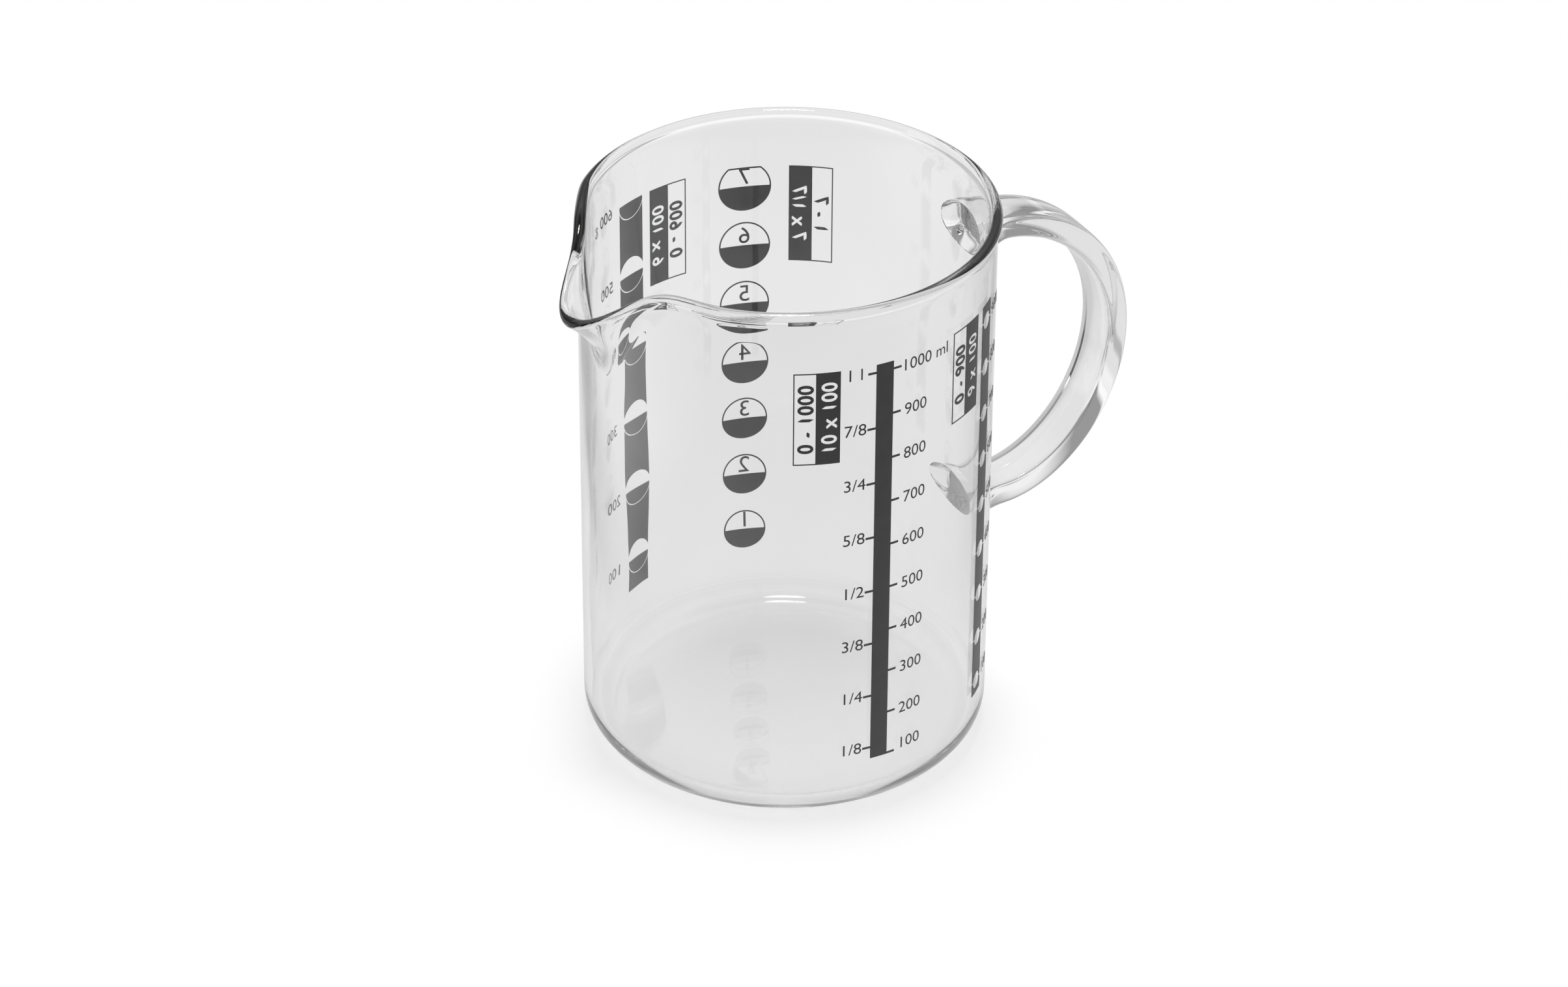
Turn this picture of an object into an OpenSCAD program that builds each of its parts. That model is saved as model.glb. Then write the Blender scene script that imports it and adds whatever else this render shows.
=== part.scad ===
// One litre glass measuring jug with a pulled spout, a fused glass handle
// and four fired enamel scales. The axis of the jug is Z, the table is z = 0,
// the handle points along +X and the spout along -X.

/* [Vessel] */
// Outer diameter of the straight wall
body_d = 104.4; // [96:0.1:120]
// Height of the rim above the table
body_h = 149.3; // [146:0.1:180]
// Thickness of the wall
wall_t = 2; // [1.6:0.1:2.8]
// Thickness of the base
base_t = 3; // [2:0.1:5]
// Outer radius of the heel between base and wall
heel_r = 9; // [6:0.1:12]
// Rise of the pushed-up middle of the base
punt_h = 1.5; // [0.5:0.1:4]
// Width of the flat ring that stands on the table
stand_w = 6; // [3:0.1:12]

/* [Rim] */
// Thickness of the rounded rim
bead_d = 3; // [2.8:0.1:4]
// How far the rim stands out from the middle of the wall
rim_flare = 0.6; // [0.2:0.1:1.5]
// Height over which the wall turns out to the rim
rim_turn_h = 7; // [4:0.1:9]

/* [Spout] */
// Reach of the lip beyond the rim
spout_reach = 8.5; // [4:0.1:12]
// Drop of the lip below the rim
spout_drop = 14.5; // [6:0.1:18]
// Height over which the spout turns out of the wall
spout_turn_h = 17; // [12:0.1:24]
// Angle from the middle of the spout to where its lip meets the rim
spout_half_angle = 24; // [18:1:30]
// Angle from the middle of the spout to where the rim stops dropping
drop_half_angle = 40; // [30:1:44]
// Depth of the shallow dip of the rim on each side of the spout
shoulder_dip = 0.7; // [0:0.1:1.2]
// Angle from the middle of the spout to the middle of each dip
shoulder_angle = 31; // [28:1:31]

/* [Handle] */
// Width of the handle across the jug
grip_w = 13.8; // [13:0.1:20]
// Thickness of the handle
grip_t = 6.6; // [5:0.1:9]
// Distance from the wall to the handle's middle line at its widest
grip_out = 41.7; // [34:0.1:50]
// Drop from the rim to the upper root
upper_root_drop = 19; // [17:0.1:24]
// Height between the two roots
root_span = 78; // [66:0.1:92]
// Drop from the upper root to the handle's widest place
grip_drop = 37.7; // [30:0.1:42]
// Width of the upper fused root
upper_root_w = 21; // [18:0.1:24]
// Width of the lower fused root
lower_root_w = 23.5; // [18:0.1:26]
// Height of the upper fused root
upper_root_h = 12.4; // [9:0.1:14]
// Height of the lower fused root
lower_root_h = 9.4; // [9:0.1:12]
// Distance over which the handle swells into a root
root_run = 9; // [5:0.1:14]

/* [Litre scale] */
// Drop from the rim to the top of every scale and label
scale_drop = 16.7; // [12:0.1:24]
// Direction of the litre bar
litre_angle = -91.3; // [-96:0.1:-86]
// Width of the litre bar
litre_w = 4.7; // [3:0.1:7]
// Height of the 100 ml mark
ml_mark_z = 17; // [14:0.1:24]
// Drop from the top of the bar to the 1000 ml mark
ml_top_gap = 2.2; // [1:0.1:4]
// Length of a mark beside the bar
tick_l = 2.2; // [1:0.1:3]
// Thickness of a mark beside the bar
tick_t = 0.6; // [0.3:0.1:1]

/* [Cup scale] */
// Direction of the row of cup marks
cup_angle = 74; // [72:0.1:78]
// Height of the lowest cup mark
cup_mark_z = 22.9; // [18:0.1:26]
// Drop from the top of the scale to the middle of the highest cup mark
cup_top_gap = 5.6; // [4:0.1:7]
// Width of the outline round a cup mark
cup_line_w = 0.4; // [0.2:0.1:0.8]
// Gap between a cup mark of full size and its neighbour
cup_gap = 3.2; // [2:0.1:6]
// Radius that each cup mark has less than the one above
cup_taper = 0.2; // [0:0.1:0.4]

/* [Flour scale] */
// Direction of the flour bar
flour_angle = 112.8; // [110:0.1:114]
// Width of the flour bar
flour_w = 9.2; // [8:0.1:11]
// Radius of the round marks on the flour bar
flour_mark_r = 5; // [4.2:0.1:5.6]
// Height of the lowest mark on the flour bar
flour_mark_z = 26; // [24:0.1:30]
// Width of the clear line under a mark on the flour bar
flour_line_w = 0.3; // [0.2:0.1:0.6]

/* [Sugar scale] */
// Direction of the sugar bar
sugar_angle = -48; // [-50:0.1:-44]
// Width of the sugar bar
sugar_w = 6; // [5:0.1:8]
// Radius of the round marks on the sugar bar
sugar_mark_r = 2.3; // [1.5:0.1:2.4]
// Height of the lowest mark on the sugar bar
sugar_mark_z = 20.5; // [19.5:0.1:24]
// Drop from the top of the sugar bar to its highest mark
sugar_top_gap = 4.9; // [3:0.1:7]
// Width of the clear line through a mark on the sugar bar
sugar_line_w = 0.5; // [0.3:0.1:0.8]

/* [Labels] */
// Width of a label
label_w = 11.6; // [8:0.1:12.5]
// Height of the litre and sugar labels
front_label_h = 25.9; // [18:0.1:30]
// Height of the cup and flour labels
back_label_h = 28; // [18:0.1:32]
// Width of the outline round a label
line_w = 0.3; // [0.2:0.1:0.8]
// Direction of the litre label
litre_label_angle = -110.3; // [-113:0.1:-107]
// Direction of the cup label
cup_label_angle = 54.8; // [52:0.1:57]
// Direction of the flour label
flour_label_angle = 98.4; // [97:0.1:99]
// Direction of the sugar label
sugar_label_angle = -60.9; // [-64:0.1:-60]
// Thickness of the enamel film
film_t = 0.1; // [0.06:0.01:0.2]
// Clearance between the wall and the enamel film
film_gap = 0.02; // [0.01:0.01:0.05]

/* [Hidden] */
$fn = 96;
overrun = 1;
body_r = body_d / 2;
bead_r = bead_d / 2;
wall_mid_r = body_r - wall_t / 2;
heel_mid_r = body_r - heel_r;
heel_in_r = heel_r - wall_t;
stand_in_r = heel_mid_r - stand_w;
glass_tint = [0.88, 0.9, 0.9, 0.45];
enamel_grey = [0.3, 0.3, 0.31];

// Places from the axis to the flat ring where the base's push-up is drawn
punt_shares = [0, 0.4, 0.75, 1];
heel_steps = 6;
turn_steps = 7;
lip_steps = 4;
lip_angle = 84;
turn_power = 2;
// The wall keeps its thickness until just under the rounded rim
swell_power = 6;

// A quarter of the jug holds the spout, and the rest is a plain revolve. The quarter is
// drawn from 90 to 180 degrees, so that its end faces lie in the coordinate planes and
// meet the revolve point for point, and both are then turned to where the spout is.
spout_angle = 180;
sector_steps = 36;
spout_power = 3;
drop_power = 5;
dip_power = 2;
dip_half_angle = 45 - shoulder_angle;

// The handle's middle line is two curves that meet at its widest place
upper_root_angle = 10;
lower_root_angle = -19;
upper_pull = 19;
lower_pull = 21;
upper_round = 26.2;
lower_round = 26.5;
root_depth = 2 * wall_t;
upper_root_z = body_h - upper_root_drop;
lower_root_z = upper_root_z - root_span;
grip_steps = 15;
grip_sides = 28;
// Powers of the flat bar's section along the grip and of the plain oval at a root
grip_power = 6;
oval_power = 2;

film_r = body_r + film_gap;
scale_top = body_h - scale_drop;
scale_bottom = ml_mark_z - tick_t / 2;
ml_marks = 10;
ml_step = (scale_top - ml_top_gap - ml_mark_z) / (ml_marks - 1);
eighth_marks = 8;
cup_marks = 7;
cup_step = (scale_top - cup_top_gap - cup_mark_z) / (cup_marks - 1);
cup_high_r = (cup_step - cup_gap) / 2;
flour_marks = 6;
flour_step = (scale_top - flour_mark_z) / (flour_marks - 1);
sugar_marks = 9;
sugar_step = (scale_top - sugar_top_gap - sugar_mark_z) / (sugar_marks - 1);

// A smooth hump, one in the middle and zero from u = 1 outwards
function hump(u, power) = abs(u) < 1 ? pow(1 - u * u, power) : 0;

// Shape of the rim at angle a from the middle of the spout
function lip_out(a) = rim_flare + spout_reach * hump(a / spout_half_angle, spout_power)
    - shoulder_dip * hump((abs(a) - shoulder_angle) / dip_half_angle, dip_power);
function lip_drop(a) = spout_drop * hump(a / drop_half_angle, drop_power);
function turn_h(a) = rim_turn_h
    + (spout_turn_h - rim_turn_h) * hump(a / spout_half_angle, dip_power);

// Pairs of facing points, outside and inside, from the axis to the lip
function base_pairs() = [
    for (s = punt_shares)
        let (r = s * stand_in_r, lift = punt_h * (1 - s * s))
        [[r, lift], [r, lift + base_t]]
];
function heel_pairs() = [
    for (i = [0 : heel_steps])
        let (turn = 90 * (i / heel_steps - 1))
        [
            [heel_mid_r + heel_r * cos(turn), heel_r + heel_r * sin(turn)],
            [heel_mid_r + heel_in_r * cos(turn), base_t + heel_in_r + heel_in_r * sin(turn)]
        ]
];
function turn_point(a, s) = [
    wall_mid_r + lip_out(a) * pow(s, turn_power),
    body_h - bead_r - lip_drop(a) - turn_h(a) * (1 - s)
];
function turn_dir(a, s) =
    let (d = [lip_out(a) * turn_power * pow(s, turn_power - 1), turn_h(a)]) d / norm(d);
function outward(d) = [d[1], -d[0]];
function turn_pairs(a) = [
    for (i = [0 : turn_steps])
        let (
            s = i / turn_steps,
            p = turn_point(a, s),
            n = outward(turn_dir(a, s)),
            half_t = wall_t / 2 + (bead_r - wall_t / 2) * pow(s, swell_power)
        )
        [p + n * half_t, p - n * half_t]
];
function lip_pairs(a) = [
    for (i = [1 : lip_steps])
        let (
            p = turn_point(a, 1),
            d = turn_dir(a, 1),
            n = outward(d),
            turn = lip_angle * i / lip_steps
        )
        [
            p + bead_r * (n * cos(turn) + d * sin(turn)),
            p + bead_r * (d * sin(turn) - n * cos(turn))
        ]
];
function pairs(a) = concat(base_pairs(), heel_pairs(), turn_pairs(a), lip_pairs(a));

// The closed outline of the glass at angle a from the middle of the spout
function section(a) =
    let (p = pairs(a), last = len(p) - 1)
    concat([for (q = p) q[0]], [for (i = [last : -1 : 0]) p[i][1]]);

function on_ring(p, turn) = [p[0] * cos(turn), p[0] * sin(turn), p[1]];

// The wall with the spout, lofted through the sections of its sector
module spout_sector() {
    count = len(section(0));
    far = count - 1;
    half = count / 2;
    angles = [for (j = [0 : sector_steps]) 90 * j / sector_steps - 45];
    points = [for (a = angles) for (p = section(a)) on_ring(p, 135 + a)];
    function at(j, i) = i == 0 || i == far ? i : j * count + i;
    axis_faces = [
        for (j = [0 : sector_steps - 1])
            each [[0, at(j, 1), at(j + 1, 1)], [at(j, far - 1), far, at(j + 1, far - 1)]]
    ];
    skin_faces = [
        for (j = [0 : sector_steps - 1], i = [1 : far - 2])
            each [
                [at(j, i), at(j, i + 1), at(j + 1, i + 1)],
                [at(j, i), at(j + 1, i + 1), at(j + 1, i)]
            ]
    ];
    end_faces = [
        for (k = [0 : half - 2], j = [0, sector_steps])
            let (face = [at(j, k), at(j, k + 1), at(j, far - k - 1), at(j, far - k)])
            j == 0 ? [face[3], face[2], face[1], face[0]] : face
    ];
    polyhedron(points, concat(axis_faces, skin_faces, end_faces));
}

module glass_vessel() {
    color(glass_tint) rotate(spout_angle - 135) union() {
        rotate_extrude(angle = 270, start = 180) polygon(section(45));
        spout_sector();
    }
}

// Cubic curve through four points in the plane of the handle, and its direction
function curve(p, t) = pow(1 - t, 3) * p[0] + 3 * pow(1 - t, 2) * t * p[1]
    + 3 * (1 - t) * t * t * p[2] + t * t * t * p[3];
function curve_dir(p, t) =
    let (
        d = pow(1 - t, 2) * (p[1] - p[0]) + 2 * (1 - t) * t * (p[2] - p[1])
            + t * t * (p[3] - p[2])
    )
    d / norm(d);

// How near a place at distance x from the axis is to a root, one on the wall and zero along the grip
function root_share(x) = pow(max(0, 1 - max(0, x - body_r) / root_run), 2);
function flattened(v, power) = sign(v) * pow(abs(v), 2 / power);

// One ring of the handle about point p, square to direction d: a flat bar that turns oval at a root
function grip_ring(p, d, root) =
    let (
        share = root_share(p[0]),
        half = ([grip_w, grip_t] * (1 - share) + root * share) / 2,
        power = grip_power * (1 - share) + oval_power * share
    )
    [
        for (i = [0 : grip_sides - 1])
            let (
                turn = 360 * i / grip_sides,
                n = half[1] * flattened(cos(turn), power),
                across = half[0] * flattened(sin(turn), power)
            )
            [p[0] + n * d[1], across, p[1] - n * d[0]]
    ];

module glass_handle() {
    upper_root = [body_r, upper_root_z];
    lower_root = [body_r, lower_root_z];
    upper_size = [upper_root_w, upper_root_h];
    lower_size = [lower_root_w, lower_root_h];
    widest = [body_r + grip_out, upper_root_z - grip_drop];
    upper_dir = [cos(upper_root_angle), sin(upper_root_angle)];
    lower_dir = [cos(lower_root_angle), sin(lower_root_angle)];
    upper = [upper_root, upper_root + upper_pull * upper_dir, widest + [0, upper_round], widest];
    lower = [widest, widest - [0, lower_round], lower_root + lower_pull * lower_dir, lower_root];
    rings = concat(
        [grip_ring(upper_root - root_depth * upper_dir, upper_dir, upper_size)],
        [
            for (i = [0 : grip_steps])
                let (t = i / grip_steps)
                grip_ring(curve(upper, t), curve_dir(upper, t), upper_size)
        ],
        [
            for (i = [1 : grip_steps])
                let (t = i / grip_steps)
                grip_ring(curve(lower, t), curve_dir(lower, t), lower_size)
        ],
        [grip_ring(lower_root - root_depth * lower_dir, -lower_dir, lower_size)]
    );
    last = len(rings) - 1;
    function at(j, i) = j * grip_sides + i % grip_sides;
    skin_faces = [
        for (j = [0 : last - 1], i = [0 : grip_sides - 1])
            each [
                [at(j, i), at(j, i + 1), at(j + 1, i + 1)],
                [at(j, i), at(j + 1, i + 1), at(j + 1, i)]
            ]
    ];
    end_faces = [
        [for (i = [grip_sides - 1 : -1 : 0]) at(0, i)],
        [for (i = [0 : grip_sides - 1]) at(last, i)]
    ];
    color(glass_tint) difference() {
        polyhedron([for (r = rings) each r], concat(skin_faces, end_faces));
        cylinder(r = body_r, h = body_h);
    }
}

// Angle that a width covers on the outer wall
function spread(w) = w / body_r * 180 / PI;

// A patch of enamel on the wall, w wide about the direction given
module film(direction, w, low, high) {
    rotate_extrude(angle = spread(w), start = direction - spread(w) / 2)
        translate([film_r, low]) square([film_t, high - low]);
}

// A round cutter that points straight out through the wall
module round_cutter(direction, z, r) {
    translate([0, 0, z]) rotate([0, 90, direction]) cylinder(r = r, h = film_r + film_t + overrun);
}

// A label with a solid right half and an outlined left half
module label(direction, label_h) {
    low = scale_top - label_h;
    window_w = label_w / 2 - 2 * line_w;
    window_at = direction - spread(label_w / 2 - line_w - window_w / 2);
    color(enamel_grey) difference() {
        film(direction, label_w, low, scale_top);
        window(window_at, window_w, low + line_w, scale_top - line_w);
    }
}

// A cutter for an upright clear window in the enamel
module window(direction, w, low, high) {
    rotate_extrude(angle = spread(w), start = direction - spread(w) / 2)
        translate([film_r - overrun, low]) square([film_t + 2 * overrun, high - low]);
}

// The mark for a count of 100 ml steps
module litre_tick(steps, direction, reach) {
    z = ml_mark_z + (steps - 1) * ml_step;
    film(direction, reach, z - tick_t / 2, z + tick_t / 2);
}

module litre_scale() {
    reach = litre_w / 2 + tick_l;
    color(enamel_grey) union() {
        film(litre_angle, litre_w, scale_bottom, scale_top);
        for (k = [1 : ml_marks])
            litre_tick(k, litre_angle + spread(reach / 2), reach);
        for (k = [1 : eighth_marks])
            litre_tick(k * ml_marks / eighth_marks, litre_angle - spread(reach / 2), reach);
    }
}

module litre_label() {
    label(litre_label_angle, front_label_h);
}

// A disc with a solid lower half and an outlined upper half
module cup_mark(z, r) {
    beyond = r + overrun;
    difference() {
        intersection() {
            film(cup_angle, 2 * beyond, z - beyond, min(z + beyond, scale_top));
            round_cutter(cup_angle, z, r);
        }
        intersection() {
            window(cup_angle, 2 * r, z, min(z + r, scale_top - cup_line_w));
            round_cutter(cup_angle, z, r - cup_line_w);
        }
    }
}

module cup_scale() {
    color(enamel_grey)
        for (k = [0 : cup_marks - 1])
            cup_mark(cup_mark_z + k * cup_step, cup_high_r - (cup_marks - 1 - k) * cup_taper);
}

module cup_label() {
    label(cup_label_angle, back_label_h);
}

// The clear upper half of a round mark on the flour bar
module flour_dome(z) {
    intersection() {
        round_cutter(flour_angle, z, flour_mark_r);
        window(flour_angle, flour_w + overrun, z, z + flour_mark_r + overrun);
    }
}

// The clear line round the lower half of a mark on the flour bar
module flour_bowl_line(z) {
    difference() {
        intersection() {
            round_cutter(flour_angle, z, flour_mark_r);
            window(flour_angle, flour_w + overrun, z - flour_mark_r - overrun, z);
        }
        round_cutter(flour_angle, z, flour_mark_r - flour_line_w);
    }
}

module flour_scale() {
    color(enamel_grey) difference() {
        film(flour_angle, flour_w, scale_bottom, scale_top);
        for (k = [0 : flour_marks - 2])
            flour_dome(flour_mark_z + k * flour_step);
        for (k = [0 : flour_marks - 1])
            flour_bowl_line(flour_mark_z + k * flour_step);
    }
}

module flour_label() {
    label(flour_label_angle, back_label_h);
}

module sugar_scale() {
    color(enamel_grey) difference() {
        film(sugar_angle, sugar_w, scale_bottom, scale_top);
        for (k = [0 : sugar_marks - 1]) {
            z = sugar_mark_z + k * sugar_step;
            round_cutter(sugar_angle, z, sugar_mark_r);
            window(sugar_angle, sugar_w + overrun, z - sugar_line_w / 2, z + sugar_line_w / 2);
        }
    }
}

module sugar_label() {
    label(sugar_label_angle, front_label_h);
}

glass_vessel();
glass_handle();
litre_scale();
litre_label();
cup_scale();
cup_label();
flour_scale();
flour_label();
sugar_scale();
sugar_label();
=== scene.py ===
import math

import bmesh
import bpy
from mathutils import Matrix, Vector
from mathutils.geometry import interpolate_bezier


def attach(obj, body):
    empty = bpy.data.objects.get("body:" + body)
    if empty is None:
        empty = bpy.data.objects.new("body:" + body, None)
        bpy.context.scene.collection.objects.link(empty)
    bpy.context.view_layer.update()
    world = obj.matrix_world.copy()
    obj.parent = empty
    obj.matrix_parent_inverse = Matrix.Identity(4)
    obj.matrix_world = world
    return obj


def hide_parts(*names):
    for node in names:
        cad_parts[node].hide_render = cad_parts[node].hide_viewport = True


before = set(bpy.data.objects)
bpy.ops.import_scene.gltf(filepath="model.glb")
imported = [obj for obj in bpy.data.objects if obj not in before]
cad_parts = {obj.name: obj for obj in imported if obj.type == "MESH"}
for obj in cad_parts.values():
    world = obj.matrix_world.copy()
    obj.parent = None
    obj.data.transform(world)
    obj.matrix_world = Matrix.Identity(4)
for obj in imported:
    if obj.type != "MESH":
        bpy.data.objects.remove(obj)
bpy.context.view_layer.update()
scene = bpy.context.scene
mm = 0.001       # every piece is drawn in millimetres and scaled once, when it is kept
weld = 0.0005    # points nearer to each other than this are one
print("frame loaded,", len(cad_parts), "nodes")


class Wire:
    # wraps an output socket, so that shader maths reads as plain Python
    def __init__(self, tree, socket=None):
        self.tree, self.socket = tree, socket

    def node(self, kind, settings=None, inputs=None, out=0):
        made = self.tree.nodes.new(kind)
        for key, value in (settings or {}).items():
            if key == "stops":
                ramp = made.color_ramp.elements
                while len(ramp) < len(value):
                    ramp.new(0.5)
                for stop, (place, colour) in zip(ramp, value):
                    stop.position, stop.color = place, colour
            else:
                setattr(made, key, value)
        for key, value in (inputs or {}).items():
            if isinstance(value, Wire):
                self.tree.links.new(value.socket, made.inputs[key])
            else:
                made.inputs[key].default_value = value
        return Wire(self.tree, made.outputs[out]) if made.outputs else made

    def math(self, operation, first, second):
        return self.node("ShaderNodeMath", {"operation": operation}, {0: first, 1: second})

    def __add__(self, other):
        return self.math("ADD", self, other)

    def __sub__(self, other):
        return self.math("SUBTRACT", self, other)

    def __rsub__(self, other):
        return self.math("SUBTRACT", other, self)

    def __mul__(self, other):
        return self.math("MULTIPLY", self, other)

    __radd__ = __add__
    __rmul__ = __mul__


def startTree(block):
    block.use_nodes = True
    block.node_tree.nodes.clear()
    return Wire(block.node_tree)


def grey(level):
    return (level, level, level, 1)


def greyRamp(share, stops):
    # a grey that follows share from stop to stop
    colours = [(place, grey(level)) for place, level in stops]
    return share.node("ShaderNodeValToRGB", {"stops": colours}, {"Fac": share})


def noise(place, scale, detail):
    return place.node("ShaderNodeTexNoise", {}, {"Vector": place, "Scale": scale, "Detail": detail})


def mixColour(share, first, second, blend="MIX"):
    # sockets 0, 6 and 7 are the share and the two colours, and output 2 is what they make
    return first.node("ShaderNodeMix", {"data_type": "RGBA", "blend_type": blend},
                      {0: share, 6: first, 7: second}, out=2)


clearGlass = {
    "patch": 18, "patchDetail": 2,      # patches per metre
    "tint": [(0.3, 0.975), (0.7, 0.99)],        # how much light a surface lets through, from patch to patch
    "edgeShade": [(0.55, 1), (0.8, 0.86), (0.97, 0.3)],      # painted shade: the light a surface lets through, darkened as the surface turns edge on, for dark outlines along the silhouettes
    "absorb": 5,                        # light lost in the body of the glass, per metre
    "ior": 1.47,
    "smear": 160, "smearDetail": 3,     # smears per metre
    "roughness": (0.0, 0.012),
    "wave": 34, "waveDetail": 1,        # waves in the blown wall, per metre
    "waveHeight": 0.00012,
}


def makeClearGlass():
    s = clearGlass
    material = bpy.data.materials.new("clear_glass")
    start = startTree(material)
    place = start.node("ShaderNodeTexCoord", out="Object")
    patches = greyRamp(noise(place, s["patch"], s["patchDetail"]), s["tint"])
    # painted shade: the glass darkens where it turns edge on to the view, which draws dark outlines
    edgeShade = greyRamp(start.node("ShaderNodeLayerWeight", out="Facing"), s["edgeShade"])
    # the tint carries the painted shade of the edges as well as the glass's own patches
    tint = mixColour(1.0, patches, edgeShade, "MULTIPLY")
    smear = noise(place, s["smear"], s["smearDetail"])
    rough = smear * (s["roughness"][1] - s["roughness"][0]) + s["roughness"][0]
    wave = noise(place, s["wave"], s["waveDetail"])
    bump = start.node("ShaderNodeBump", {}, {"Strength": 1.0, "Distance": s["waveHeight"], "Height": wave})
    glass = start.node("ShaderNodeBsdfPrincipled", {}, {
        "Base Color": tint, "Roughness": rough, "IOR": s["ior"], "Transmission Weight": 1.0, "Normal": bump})
    body = start.node("ShaderNodeVolumeAbsorption", {}, {"Color": grey(0), "Density": s["absorb"]})
    start.node("ShaderNodeOutputMaterial", {}, {"Surface": glass, "Volume": body})
    return material


greyEnamel = {
    "tone": [(0.25, 0.046), (0.75, 0.06)],      # from the darkest to the palest grey of the fired print
    "behind": [(0.25, 0.15), (0.75, 0.175)],    # painted light: the same, paler on the side that lies on the glass, for light the wall reflects over it
    "faceR": 52.235,                            # radius that divides the two sides
    "cloud": 210, "cloudDetail": 4, "cloudShare": 0.7,      # clouds in the print, per metre
    "grain": 4200, "grainDetail": 2, "grainShare": 0.3,     # grains of the pigment, per metre
    "grainHeight": 0.000008, "grainStrength": 0.6,
    "roughness": (0.34, 0.5),
    "ior": 1.5,
}


def makeGreyEnamel():
    s = greyEnamel
    material = bpy.data.materials.new("grey_enamel")
    start = startTree(material)
    place = start.node("ShaderNodeTexCoord", out="Object")
    cloud = noise(place, s["cloud"], s["cloudDetail"])
    grain = noise(place, s["grain"], s["grainDetail"])
    fleck = cloud * s["cloudShare"] + grain * s["grainShare"]
    flat = start.node("ShaderNodeVectorMath", {"operation": "MULTIPLY"}, {0: place, 1: (1, 1, 0)})
    away = start.node("ShaderNodeVectorMath", {"operation": "LENGTH"}, {0: flat}, out="Value")
    inside = start.math("LESS_THAN", away, s["faceR"] * mm)
    # painted light: the side that lies on the glass takes the paler grey
    tone = mixColour(inside, greyRamp(fleck, s["tone"]), greyRamp(fleck, s["behind"]))
    rough = grain * (s["roughness"][1] - s["roughness"][0]) + s["roughness"][0]
    bump = start.node("ShaderNodeBump", {}, {
        "Strength": s["grainStrength"], "Distance": s["grainHeight"], "Height": grain})
    enamel = start.node("ShaderNodeBsdfPrincipled", {}, {
        "Base Color": tone, "Roughness": rough, "IOR": s["ior"], "Normal": bump})
    start.node("ShaderNodeOutputMaterial", {}, {"Surface": enamel})
    return material


glassMaterial = makeClearGlass()
enamelMaterial = makeGreyEnamel()
print("materials ready")


def keepPiece(bm, name, material, node=None, sharpAngle=40):
    bmesh.ops.remove_doubles(bm, verts=bm.verts[:], dist=weld)
    bmesh.ops.recalc_face_normals(bm, faces=bm.faces[:])
    bmesh.ops.scale(bm, vec=(mm, mm, mm), verts=bm.verts[:])
    for face in bm.faces:
        face.smooth = True
    mesh = bpy.data.meshes.new(name)
    bm.to_mesh(mesh)
    bm.free()
    mesh.set_sharp_from_angle(angle=math.radians(sharpAngle))
    mesh.materials.append(material)
    piece = bpy.data.objects.new(name, mesh)
    scene.collection.objects.link(piece)
    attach(piece, "root")
    if node:
        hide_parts(node)
    print(name, len(mesh.vertices), "points")
    return piece


vessel = {
    "bodyD": 104.4, "bodyH": 149.3, "wallT": 2, "baseT": 3,
    "heelR": 9, "puntH": 1.5, "standW": 6,
    "beadD": 3, "beadPower": 6, "rimFlare": 0.6, "rimTurnH": 7,
    "spoutReach": 8.5, "reachPower": 3, "spoutHalf": 24,        # a half is degrees to each side
    "spoutTurnH": 17, "turnPower": 2,
    "spoutDrop": 14.5, "dropPower": 5, "dropHalf": 40,
    "dip": 0.7, "dipPower": 2, "dipAt": 31, "dipHalf": 14,      # a shallow dip on both shoulders
    "around": 288, "baseRows": 8, "heelRows": 14, "wallRows": 48, "turnRows": 20, "lipRows": 9,
    "wallEnd": 0.12,        # share of a row between the wall's end rows and the curves that follow them
    "wave": (0.006, 0.012), "wavePower": 2, "waveHalf": 75, "waveFrom": 14, "waveTo": 136, "waveFade": 12,
    "waveLobes": ((9, 14, 0, 1), (17, -9, 1.3, 0.5), (5, 3.1, 0, 0.25)),     # number, rise, start and share
}
bodyR = vessel["bodyD"] / 2
spoutEnd = vessel["dipAt"] + vessel["dipHalf"]      # degrees from the middle of the spout to the plain rim


def hump(u, power):
    return (1 - u * u) ** power if abs(u) < 1 else 0


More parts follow.
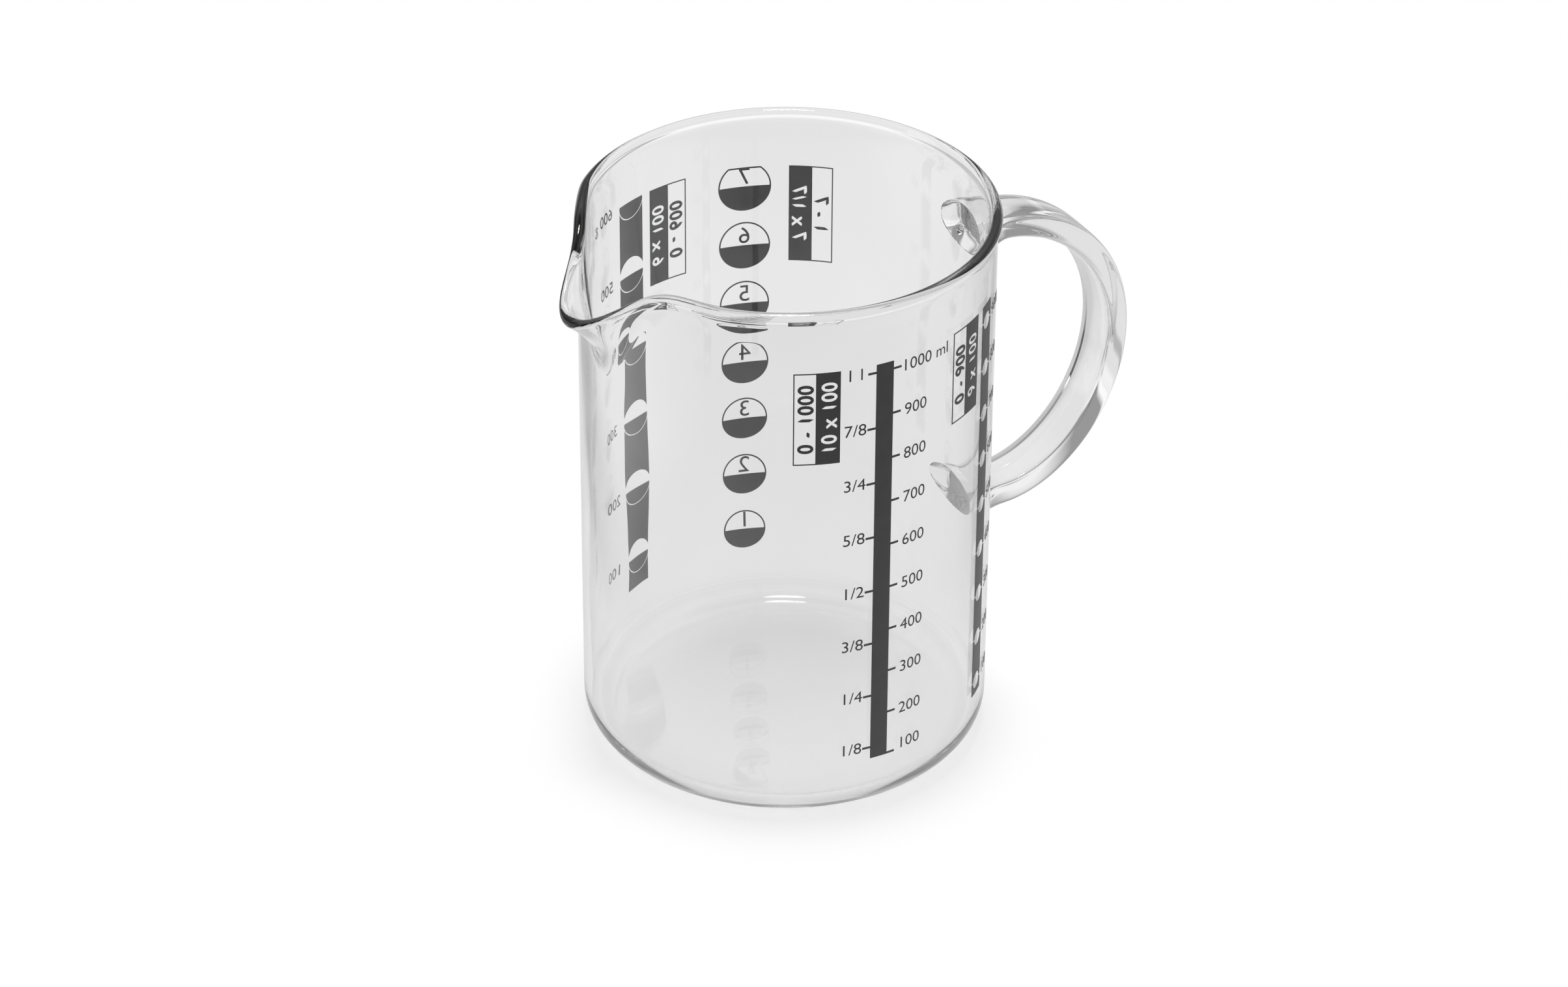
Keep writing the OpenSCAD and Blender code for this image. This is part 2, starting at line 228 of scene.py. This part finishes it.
def vesselSection(a):
    # outline of the glass at a degrees from the middle of the spout, from the axis over the lip and back
    s = vessel
    beadR, halfWall = s["beadD"] / 2, s["wallT"] / 2
    heelMid, heelIn = bodyR - s["heelR"], s["heelR"] - s["wallT"]
    lipOut = (s["rimFlare"] + s["spoutReach"] * hump(a / s["spoutHalf"], s["reachPower"])
              - s["dip"] * hump((abs(a) - s["dipAt"]) / s["dipHalf"], s["dipPower"]))
    lipDrop = s["spoutDrop"] * hump(a / s["dropHalf"], s["dropPower"])
    turned = hump(a / s["spoutHalf"], s["turnPower"])
    turnH = s["rimTurnH"] + (s["spoutTurnH"] - s["rimTurnH"]) * turned
    lipZ = s["bodyH"] - beadR - lipDrop
    outer, inner = [], []
    for i in range(s["baseRows"] + 1):
        share = i / s["baseRows"]
        lift = s["puntH"] * (1 - share * share)
        outer.append(Vector((share * (heelMid - s["standW"]), lift)))
        inner.append(Vector((share * (heelMid - s["standW"]), lift + s["baseT"])))
    for i in range(s["heelRows"] + 1):
        turn = math.pi / 2 * (i / s["heelRows"] - 1)
        outer.append(Vector((heelMid + s["heelR"] * math.cos(turn), s["heelR"] * (1 + math.sin(turn)))))
        inner.append(Vector((heelMid + heelIn * math.cos(turn), s["baseT"] + heelIn * (1 + math.sin(turn)))))
    wallLow, wallHigh = s["baseT"] + heelIn, lipZ - turnH
    for i in range(s["wallRows"] + 1):
        share = (i + s["wallEnd"]) / (s["wallRows"] + 2 * s["wallEnd"])
        z = wallLow + (wallHigh - wallLow) * share
        outer.append(Vector((bodyR, z)))
        inner.append(Vector((bodyR - s["wallT"], z)))
    for i in range(s["turnRows"] + 1):       # the wall turns out along a parabola and swells to the bead
        share = i / s["turnRows"]
        middle = Vector((bodyR - halfWall + lipOut * share ** 2, lipZ - turnH * (1 - share)))
        along = Vector((2 * lipOut * share, turnH)).normalized()
        across = Vector((along.y, -along.x))
        half = halfWall + (beadR - halfWall) * share ** s["beadPower"]
        outer.append(middle + across * half)
        inner.append(middle - across * half)
    for i in range(1, s["lipRows"] + 1):
        turn = math.pi / 2 * i / s["lipRows"]
        outer.append(middle + beadR * (across * math.cos(turn) + along * math.sin(turn)))
        inner.append(middle + beadR * (along * math.sin(turn) - across * math.cos(turn)))
    return outer + inner[::-1]


def wallWave(a, z):
    # how far the inside of the blown wall swells, most where the spout was heated and pulled
    s = vessel
    fade = max(0, min(1, (z - s["waveFrom"]) / s["waveFade"], (s["waveTo"] - z) / s["waveFade"]))
    height = s["wave"][0] + s["wave"][1] * hump(a / s["waveHalf"], s["wavePower"])
    turn = math.radians(a)
    shape = sum(share * math.sin(number * turn + z / rise + start)
                for number, rise, start, share in s["waveLobes"])
    return height * fade * shape


def makeVessel():
    bm = bmesh.new()
    station = bm.verts.layers.int.new("station")
    row = [bm.verts.new((-p.x, 0, p.y)) for p in vesselSection(spoutEnd)]
    for i, vert in enumerate(row):
        vert[station] = i
    edges = [bm.edges.new(pair) for pair in zip(row, row[1:])]
    bmesh.ops.spin(bm, geom=row + edges, cent=(0, 0, 0), axis=(0, 0, 1), angle=2 * math.pi,
                   steps=vessel["around"], use_merge=True)
    sections = {}
    for vert in bm.verts:   # pull the spout out of the plain rim
        a = round(math.degrees(math.atan2(vert.co.y, -vert.co.x)), 3)
        flat = Vector((vert.co.x, vert.co.y))
        if abs(a) < spoutEnd and flat.length > weld:
            if a not in sections:
                sections[a] = vesselSection(a)
            point = sections[a][vert[station]]
            flat = flat.normalized() * point.x
            vert.co = (flat.x, flat.y, point.y)
        if vert[station] >= len(row) / 2 and flat.length > bodyR / 2:      # the inside of the wall
            flat += flat.normalized() * wallWave(a, vert.co.z)
            vert.co = (flat.x, flat.y, vert.co.z)
    keepPiece(bm, "glass_vessel_blown", glassMaterial, "glass_vessel")


makeVessel()

handle = {
    "gripW": 13.8, "gripT": 6.6, "gripPower": 6,     # a flat bar with rounded edges
    "gripOut": 41.7, "upperRootDrop": 19, "rootSpan": 78, "gripDrop": 37.7,
    "upperRoot": (21, 12.4), "lowerRoot": (23.5, 9.4),      # width and height where it is melted on
    "rootRun": 9,           # how far from the wall a root has thinned to the bar
    "upperAngle": 10, "lowerAngle": -19,
    "upperPull": 19, "lowerPull": 21, "upperRound": 26.2, "lowerRound": 26.5,
    "seat": 0.4,            # how deep a root is melted into the wall
    "rings": 40, "sides": 96,
    "skip": 2,              # rings left out next to a root
    "seatShares": (0.05, 0.35, 0.7, 1),     # the rings that close a root, from the smallest to the full one
}


def flattened(value, power):
    return math.copysign(abs(value) ** (2 / power), value)


def heading(angle):
    return Vector((math.cos(math.radians(angle)), math.sin(math.radians(angle))))


def handleRing(bm, point, along, root, share=1):
    # the points of one flattened oval, square to the middle line
    s = handle
    near = max(0, 1 - max(0, point.x - bodyR) / s["rootRun"]) ** 2
    halfW = (s["gripW"] + (root[0] - s["gripW"]) * near) / 2 * share
    halfT = (s["gripT"] + (root[1] - s["gripT"]) * near) / 2 * share
    across = Vector((along.y, -along.x))
    place = Matrix(((across.x * halfT, 0, along.x, point.x),
                    (0, halfW, 0, 0),
                    (across.y * halfT, 0, along.y, point.y),
                    (0, 0, 0, 1)))
    ring = bmesh.ops.create_circle(bm, cap_ends=share == s["seatShares"][0],
                                   segments=s["sides"], radius=1)["verts"]
    power = s["gripPower"] + (2 - s["gripPower"]) * near      # the roots are plain ovals
    for vert in ring:
        vert.co = Vector((flattened(vert.co.x, power), flattened(vert.co.y, power), 0))
    bmesh.ops.transform(bm, matrix=place, verts=ring)
    return ring


def seatRing(ring, along):
    # slides a ring along the root until it lies just inside the wall
    for vert in ring:
        target = math.sqrt((bodyR - handle["seat"]) ** 2 - vert.co.y ** 2)
        slide = (target - vert.co.x) / along.x
        vert.co += Vector((along.x, 0, along.y)) * slide


def loopEdges(ring):
    members = set(ring)
    return [e for e in {e for v in ring for e in v.link_edges} if all(v in members for v in e.verts)]


def makeHandle():
    s = handle
    upperRoot = Vector((bodyR, vessel["bodyH"] - s["upperRootDrop"]))
    lowerRoot = upperRoot - Vector((0, s["rootSpan"]))
    widest = upperRoot + Vector((s["gripOut"], -s["gripDrop"]))
    upperWay, lowerWay = heading(s["upperAngle"]), heading(s["lowerAngle"])
    upper = [upperRoot, upperRoot + upperWay * s["upperPull"], widest + Vector((0, s["upperRound"])), widest]
    lower = [widest, widest - Vector((0, s["lowerRound"])), lowerRoot + lowerWay * s["lowerPull"], lowerRoot]
    bm = bmesh.new()
    rings = []
    for share in s["seatShares"]:
        rings.append(handleRing(bm, upperRoot, upperWay, s["upperRoot"], share))
        seatRing(rings[-1], upperWay)
    for curve, root, first, last in ((upper, s["upperRoot"], s["skip"], s["rings"]),
                                     (lower, s["lowerRoot"], 1, s["rings"] - s["skip"])):
        line = interpolate_bezier(*[p.to_3d() for p in curve], s["rings"] + 1)
        for i in range(first, last + 1):
            ahead, behind = line[min(i + 1, s["rings"])], line[max(i - 1, 0)]
            rings.append(handleRing(bm, line[i].to_2d(), (ahead - behind).to_2d().normalized(), root))
    for share in s["seatShares"][::-1]:
        rings.append(handleRing(bm, lowerRoot, -lowerWay, s["lowerRoot"], share))
        seatRing(rings[-1], -lowerWay)
    loops = [loopEdges(ring) for ring in rings]
    for near, far in zip(loops, loops[1:]):
        bmesh.ops.bridge_loops(bm, edges=near + far)
    bar = keepPiece(bm, "glass_handle_bar", glassMaterial, "glass_handle")
    bar.visible_shadow = False      # clear glass this slim leaves no shadow to see


makeHandle()

film = {
    "low": 0.02, "high": 0.12,      # how far the enamel lies from the wall's own surface
    "thin": 0.05,                   # the same for the top of the numerals, which have no solid to match
    "cut": 1.0, "snap": 0.0001,     # width of the strips that bend round the wall, exactness of the cuts
    "sharp": 30,                    # degrees between faces that meet in a sharp edge
    "line": 0.3, "arcSteps": 40,
    "drop": 16.7, "bottom": 16.7,   # top of the prints below the rim, bottom above the table
}
filmTop = vessel["bodyH"] - film["drop"]


def box(left, low, right, high):
    return [(left, low), (right, low), (right, high), (left, high)]


def arc(x, z, r, fromAngle, toAngle):
    steps = film["arcSteps"]
    turns = [math.radians(fromAngle + (toAngle - fromAngle) * i / steps) for i in range(steps + 1)]
    return [(x + r * math.cos(t), z + r * math.sin(t)) for t in turns]


numerals = {
    "cap": 0.729,       # height of a numeral as a share of the built-in font's size
    "points": 5,        # points along each piece of an outline, with both of its ends
}


def thickened(points, by):
    # an outline of a numeral, grown by so much, without the points that would then cross
    points = [here for here, ahead in zip(points, points[1:] + points[:1]) if (ahead - here).length > by]
    grown = []
    for back, here, ahead in zip(points[-1:] + points[:-1], points, points[1:] + points[:1]):
        along = (ahead - back).normalized()
        grown.append(here + Vector((along.y, -along.x, 0)) * by)
    return grown


def glyphs(text, height, x, z, align="LEFT", turned=False, bold=0):
    # closed outlines of a line of numerals, height tall, on the baseline z
    data = bpy.data.curves.new("numerals", "FONT")
    data.body, data.size = text, height / numerals["cap"]
    data.align_x = align
    data.space_character = 1 + 2 * bold / height
    maker = bpy.data.objects.new("numerals", data)
    scene.collection.objects.link(maker)
    bpy.context.view_layer.update()
    outlines = []
    for spline in maker.to_curve(bpy.context.evaluated_depsgraph_get()).splines:
        knots = list(spline.bezier_points)
        points = []
        for here, ahead in zip(knots, knots[1:] + knots[:1]):
            piece = (here.co, here.handle_right, ahead.handle_left, ahead.co)
            points += interpolate_bezier(*piece, numerals["points"])[:-1]
        points = thickened(points, bold) if bold else points
        outlines.append([(x - p.y, z + p.x) if turned else (x + p.x, z + p.y) for p in points])
    maker.to_curve_clear()
    bpy.data.objects.remove(maker)
    return outlines


def printFilm(name, angle, outlines, node=None):
    # a thin flat print, filled between its outlines, cut in strips and bent round the wall
    low, high = film["low"], film["high" if node else "thin"]
    flat = bpy.data.curves.new(name, "CURVE")
    flat.dimensions, flat.fill_mode = "2D", "BOTH"
    flat.extrude = (high - low) / 2
    for outline in outlines:
        spline = flat.splines.new("POLY")
        spline.points.add(len(outline) - 1)
        for point, (x, z) in zip(spline.points, outline):
            point.co = (x, z, 0, 1)
        spline.use_cyclic_u = True
    maker = bpy.data.objects.new(name, flat)
    scene.collection.objects.link(maker)
    bpy.context.view_layer.update()
    mesh = bpy.data.meshes.new_from_object(maker.evaluated_get(bpy.context.evaluated_depsgraph_get()))
    bpy.data.objects.remove(maker)
    bm = bmesh.new()
    bm.from_mesh(mesh)
    bpy.data.meshes.remove(mesh)
    bmesh.ops.remove_doubles(bm, verts=bm.verts[:], dist=weld)
    left, right = min(v.co.x for v in bm.verts), max(v.co.x for v in bm.verts)
    for i in range(1, int((right - left) / film["cut"]) + 1):
        bmesh.ops.bisect_plane(bm, geom=bm.verts[:] + bm.edges[:] + bm.faces[:], dist=film["snap"],
                               plane_co=(left + i * film["cut"], 0, 0), plane_no=(1, 0, 0))
    for vert in bm.verts:
        turn = math.radians(angle) + vert.co.x / bodyR
        r = bodyR + (low + high) / 2 + vert.co.z
        vert.co = (r * math.cos(turn), r * math.sin(turn), vert.co.y)
    keepPiece(bm, name, enamelMaterial, node, sharpAngle=film["sharp"])


litre = {
    "angle": -91.3, "w": 4.7, "mark": 17, "topGap": 2.2, "tickL": 2.2, "tickT": 0.6,
    "marks": 10, "eighths": ("1/8", "1/4", "3/8", "1/2", "5/8", "3/4", "7/8", "1 l"),
    "each": 100, "unit": " ml", "numberH": 3.4, "numberRise": -1.7, "numberGap": 1.1,
    "lastGap": 0.1, "eighthRise": -1.2, "eighthGap": 0.1,
}


def makeLitreScale():
    s = litre
    half, reach = s["w"] / 2, s["w"] / 2 + s["tickL"]
    step = (filmTop - s["topGap"] - s["mark"]) / (s["marks"] - 1)
    outline = [(-half, film["bottom"]), (half, film["bottom"])]
    numbers = []
    for k in range(1, s["marks"] + 1):
        z = s["mark"] + (k - 1) * step
        corners = box(half, z - s["tickT"] / 2, reach, z + s["tickT"] / 2)
        outline += corners[1:] if k == 1 else corners      # the lowest mark lies along the foot of the bar
        unit, gap = (s["unit"], s["lastGap"]) if k == s["marks"] else ("", s["numberGap"])
        rise = 0 if k == 1 else s["numberRise"]      # the lowest number stands level with its mark
        numbers += glyphs(str(s["each"] * k) + unit, s["numberH"], reach + gap, z + rise)
    outline += [(half, filmTop), (-half, filmTop)]
    for k in range(len(s["eighths"]), 0, -1):
        z = s["mark"] + (k * s["marks"] / len(s["eighths"]) - 1) * step
        outline += box(-half, z + s["tickT"] / 2, -reach, z - s["tickT"] / 2)
        gap = s["numberGap"] if k == len(s["eighths"]) else s["eighthGap"]
        numbers += glyphs(s["eighths"][k - 1], s["numberH"], -reach - gap, z + s["eighthRise"], "RIGHT")
    printFilm("litre_bar", s["angle"], [outline], "litre_scale")
    printFilm("litre_numbers", s["angle"], numbers)


makeLitreScale()

cup = {
    "angle": 74, "mark": 22.9, "topGap": 5.6, "gap": 3.2, "taper": 0.2, "line": 0.4, "marks": 7,
    "numberH": 5, "numberRise": 0.7,
}


def makeCupScale():
    s = cup
    step = (filmTop - s["topGap"] - s["mark"]) / (s["marks"] - 1)
    outlines, numbers = [], []
    for k in range(s["marks"]):
        z = s["mark"] + k * step
        r = (step - s["gap"]) / 2 - (s["marks"] - 1 - k) * s["taper"]
        inner = r - s["line"]
        flat = min(r, filmTop - z)           # the highest disc is cut off at the top of the print
        flatIn = min(inner, filmTop - s["line"] - z)
        side = math.degrees(math.asin(flat / r))
        sideIn = math.degrees(math.asin(flatIn / inner))
        outlines.append(arc(0, z, r, 180 - side, 360 + side))
        outlines.append(arc(0, z, inner, 0, sideIn) + arc(0, z, inner, 180 - sideIn, 180))
        numbers += glyphs(str(k + 1), s["numberH"], 0, z + s["numberRise"], "CENTER")
    printFilm("cup_discs", s["angle"], outlines, "cup_scale")
    printFilm("cup_numbers", s["angle"], numbers)


makeCupScale()

flour = {
    "angle": 112.8, "w": 9.2, "markR": 5, "mark": 26, "line": 0.3, "marks": 6,
    "each": 100, "unit": " g", "numberH": 3.4, "numberGap": 3.5, "numberRise": -1.2, "bold": 0.05,
}


def makeFlourScale():
    # each mark is a clear half round over a dark one, as wide as the bar lets it be
    s = flour
    half = s["w"] / 2
    step = (filmTop - s["mark"]) / (s["marks"] - 1)
    side = math.degrees(math.acos(half / s["markR"]))
    sideIn = math.degrees(math.acos(min(1, half / (s["markR"] - s["line"]))))
    outlines, numbers = [], []
    low = [(-half, film["bottom"]), (half, film["bottom"])]
    for k in range(s["marks"]):
        z = s["mark"] + k * step
        outlines.append(low + arc(0, z, s["markR"], -side, side - 180))
        outlines.append(arc(0, z, s["markR"] - s["line"], sideIn - 180, -sideIn) + [(half, z), (-half, z)])
        low = arc(0, z, s["markR"], 180 - side, side)
        text = str(s["each"] * (k + 1)) + (s["unit"] if k == s["marks"] - 1 else "")
        numbers += glyphs(text, s["numberH"], half + s["numberGap"], z + s["numberRise"], bold=s["bold"])
    printFilm("flour_bar", s["angle"], outlines, "flour_scale")
    printFilm("flour_numbers", s["angle"], numbers)


makeFlourScale()

sugar = {
    "angle": -48, "w": 6, "markR": 2.3, "mark": 20.5, "topGap": 4.9, "line": 0.5, "marks": 9,
    "each": 100, "unit": " g", "numberH": 3.4, "numberGap": 1.3, "numberRise": -1.2,
}


def makeSugarScale():
    # a bar with small clear discs, cut through by a clear line at each
    s = sugar
    half = s["w"] / 2
    step = (filmTop - s["topGap"] - s["mark"]) / (s["marks"] - 1)
    start = math.degrees(math.asin(s["line"] / 2 / s["markR"]))
    outlines, numbers = [], []
    low = [(-half, film["bottom"]), (half, film["bottom"])]
    for k in range(s["marks"]):
        z = s["mark"] + k * step
        outlines.append(low + [(half, z - s["line"] / 2)] + arc(0, z, s["markR"], -start, start - 180)
                        + [(-half, z - s["line"] / 2)])
        low = ([(-half, z + s["line"] / 2)] + arc(0, z, s["markR"], 180 - start, start)
               + [(half, z + s["line"] / 2)])
        text = str(s["each"] * (k + 1)) + (s["unit"] if k == s["marks"] - 1 else "")
        numbers += glyphs(text, s["numberH"], half + s["numberGap"], z + s["numberRise"])
    outlines.append(low + [(half, filmTop), (-half, filmTop)])
    printFilm("sugar_bar", s["angle"], outlines, "sugar_scale")
    printFilm("sugar_numbers", s["angle"], numbers)


makeSugarScale()

label = {
    "w": 11.6, "numberH": 3.9, "bold": 0.14,
    "places": {     # angle, height and the numbers in the two halves
        "litre_label": (-110.3, 25.9, "0 - 1000", "10 x 100"),
        "cup_label": (54.8, 28, "1 - 7", "7 x 1/7"),
        "flour_label": (98.4, 28, "0 - 600", "6 x 100"),
        "sugar_label": (-60.9, 25.9, "0 - 900", "9 x 100"),
    },
}


def makeLabels():
    # the left half is an outline with dark numerals, the right half is dark with clear numerals
    s = label
    half, line = s["w"] / 2, film["line"]
    for node, (angle, high, leftText, rightText) in s["places"].items():
        low = filmTop - high
        outlines = [box(-half, low, half, filmTop), box(-half + line, low + line, -line, filmTop - line)]
        middle = (low + filmTop) / 2
        rise = s["numberH"] / 2
        for text, x in ((leftText, -half / 2), (rightText, half / 2)):
            outlines += glyphs(text, s["numberH"], x + rise, middle, "CENTER", True, s["bold"])
        printFilm(node + "_print", angle, outlines, node)


makeLabels()

floor = {
    "radius": 6, "sides": 96, "drop": 0.1,
    "albedo": 0.4, "glow": 0.63,    # together white for the camera, with the jug's shadow
    "white": 1.0,                   # the glow of the plain white round the shadow
    "fade": (0.052, 0.074),         # distances over which the shadow gives way to it
    "glassAlbedo": 0.1,
    "glassGlow": (0.745, 0.92),     # what shows in the glass, near the jug and far from it
    "far": (0.42, 0.62),            # distances over which the one gives way to the other
    "frontWay": (-0.477, -0.879),   # the way to the front, across the floor
    "front": (0.06, 0.22), "dim": 0.06,         # the floor in front, dim where the glass mirrors it
    "aside": (0.09, 0.13), "asideGlow": 0.5,    # the handle's side, which gives its edges their grey
    "other": (0.1, 0.125), "otherEnd": (0.16, 0.2),     # a strip across from it, which does so for the wall
    "otherGlow": 0.4,
    "crossings": 3,                 # both show only to light that has crossed fewer surfaces than this
    "plain": 0.8,                   # what the rest of the light meets
}


def makeFloor():
    s = floor
    bm = bmesh.new()
    bmesh.ops.create_circle(bm, cap_ends=True, segments=s["sides"], radius=s["radius"],
                            matrix=Matrix.Translation((0, 0, -s["drop"] * mm)))
    mesh = bpy.data.meshes.new("floor")
    bm.to_mesh(mesh)
    bm.free()
    material = bpy.data.materials.new("white_floor")
    start = startTree(material)
    camera = start.node("ShaderNodeLightPath", out="Is Camera Ray")
    rays = camera.socket.node.outputs
    seen = camera
    for name in ("Is Glossy Ray", "Is Transmission Ray"):
        seen = start.math("MAXIMUM", seen, Wire(start.tree, rays[name]))
    place = start.node("ShaderNodeTexCoord", out="Object")
    away = start.node("ShaderNodeVectorMath", {"operation": "LENGTH"}, {0: place}, out="Value")
    ahead = start.node("ShaderNodeVectorMath", {"operation": "DOT_PRODUCT"},
                       {0: place, 1: (*s["frontWay"], 0)}, out="Value")
    beside = start.node("ShaderNodeVectorMath", {"operation": "DOT_PRODUCT"},
                        {0: place, 1: (-s["frontWay"][1], s["frontWay"][0], 0)}, out="Value")
    fade, far, front, aside, other, otherEnd = (
        start.node("ShaderNodeMapRange", {}, {"Value": way, "From Min": s[span][0], "From Max": s[span][1]})
        for way, span in ((away, "fade"), (away, "far"), (ahead, "front"), (beside, "aside"),
                          (0 - beside, "other"), (0 - beside, "otherEnd")))
    mirrored = start.math("GREATER_THAN", Wire(start.tree, rays["Glossy Depth"]), 0)
    slim = start.math("LESS_THAN", Wire(start.tree, rays["Transmission Depth"]), s["crossings"])
    white, glassCloth, dim, plain = (start.node("ShaderNodeBsdfDiffuse", {}, {"Color": grey(s[level])})
                                     for level in ("albedo", "glassAlbedo", "dim", "plain"))
    glow, nearGlow, farGlow, asideGlow, otherGlow, full = (
        start.node("ShaderNodeEmission", {}, {"Color": grey(1), "Strength": level})
        for level in (s["glow"], *s["glassGlow"], s["asideGlow"], s["otherGlow"], s["white"]))

    def mix(share, first, second):
        return start.node("ShaderNodeMixShader", {}, {0: share, 1: first, 2: second})

    def add(first, second):
        return start.node("ShaderNodeAddShader", {}, {0: first, 1: second})

    sides = mix(aside * slim, mix(far, nearGlow, farGlow), asideGlow)
    sides = mix((other - otherEnd) * slim, sides, otherGlow)
    inGlass = mix(mirrored * front, add(glassCloth, sides), dim)
    shown = mix(camera, inGlass, mix(fade, add(white, glow), full))
    start.node("ShaderNodeOutputMaterial", {}, {"Surface": mix(seen, plain, shown)})
    mesh.materials.append(material)
    made = bpy.data.objects.new("floor", mesh)
    scene.collection.objects.link(made)


makeFloor()

studio = {
    "sky": [(0.0, 1.1), (0.04, 1.1), (0.1, 0.32), (0.45, 0.32),      # height in the sky, grey
            (0.7, 1.0), (0.86, 1.0), (0.92, 0.3)],
    "aim": (0, 0, 0.07),
    "lamps": {      # place, size and watts
        "overhead": ((0.015, 0.03, 1.6), 0.3, 11),
        "left": ((-1.5, 0.5, 0.8), 0.6, 1),
    },
}


def makeStudio():
    s = studio
    world = bpy.data.worlds.new("studio")
    scene.world = world
    start = startTree(world)
    way = start.node("ShaderNodeTexCoord", out="Generated")
    sky = greyRamp(start.node("ShaderNodeSeparateXYZ", {}, {0: way}, out="Z"), s["sky"])
    camera = start.node("ShaderNodeLightPath", out="Is Camera Ray")
    shown = start.node("ShaderNodeMixShader", {}, {
        0: camera,
        1: start.node("ShaderNodeBackground", {}, {"Color": sky, "Strength": 1.0}),
        2: start.node("ShaderNodeBackground", {}, {"Color": grey(1), "Strength": 1.0})})
    start.node("ShaderNodeOutputWorld", {}, {"Surface": shown})
    for name, (place, size, power) in s["lamps"].items():
        data = bpy.data.lights.new(name, "AREA")
        data.shape, data.size, data.energy = "DISK", size, power
        lamp = bpy.data.objects.new(name, data)
        lamp.location = place
        lamp.rotation_euler = (Vector(s["aim"]) - Vector(place)).to_track_quat("-Z", "Y").to_euler()
        lamp.visible_camera = False
        scene.collection.objects.link(lamp)


makeStudio()

view = {
    "place": (-0.5490, -1.0111, 0.7960),
    "turn": -28.481, "tilt": 57.59, "roll": 0.386,
    "lens": 122.546, "sensor": 36, "clip": (0.01, 50),
    "bounces": 96,      # enough for light that is guided round inside the rim and the heel
}


def makeCamera():
    s = view
    data = bpy.data.cameras.new("camera")
    data.lens, data.sensor_width, data.sensor_fit = s["lens"], s["sensor"], "HORIZONTAL"
    data.clip_start, data.clip_end = s["clip"]
    camera = bpy.data.objects.new("camera", data)
    turned = (Matrix.Rotation(math.radians(s["turn"]), 4, "Z")
              @ Matrix.Rotation(math.radians(s["tilt"]), 4, "X")
              @ Matrix.Rotation(math.radians(s["roll"]), 4, "Z"))
    camera.matrix_world = Matrix.Translation(s["place"]) @ turned
    scene.collection.objects.link(camera)
    scene.camera = camera


makeCamera()
scene.view_settings.view_transform = "Standard"
scene.cycles.max_bounces = view["bounces"]
scene.cycles.transmission_bounces = view["bounces"]
scene.cycles.glossy_bounces = view["bounces"]
print("studio ready")
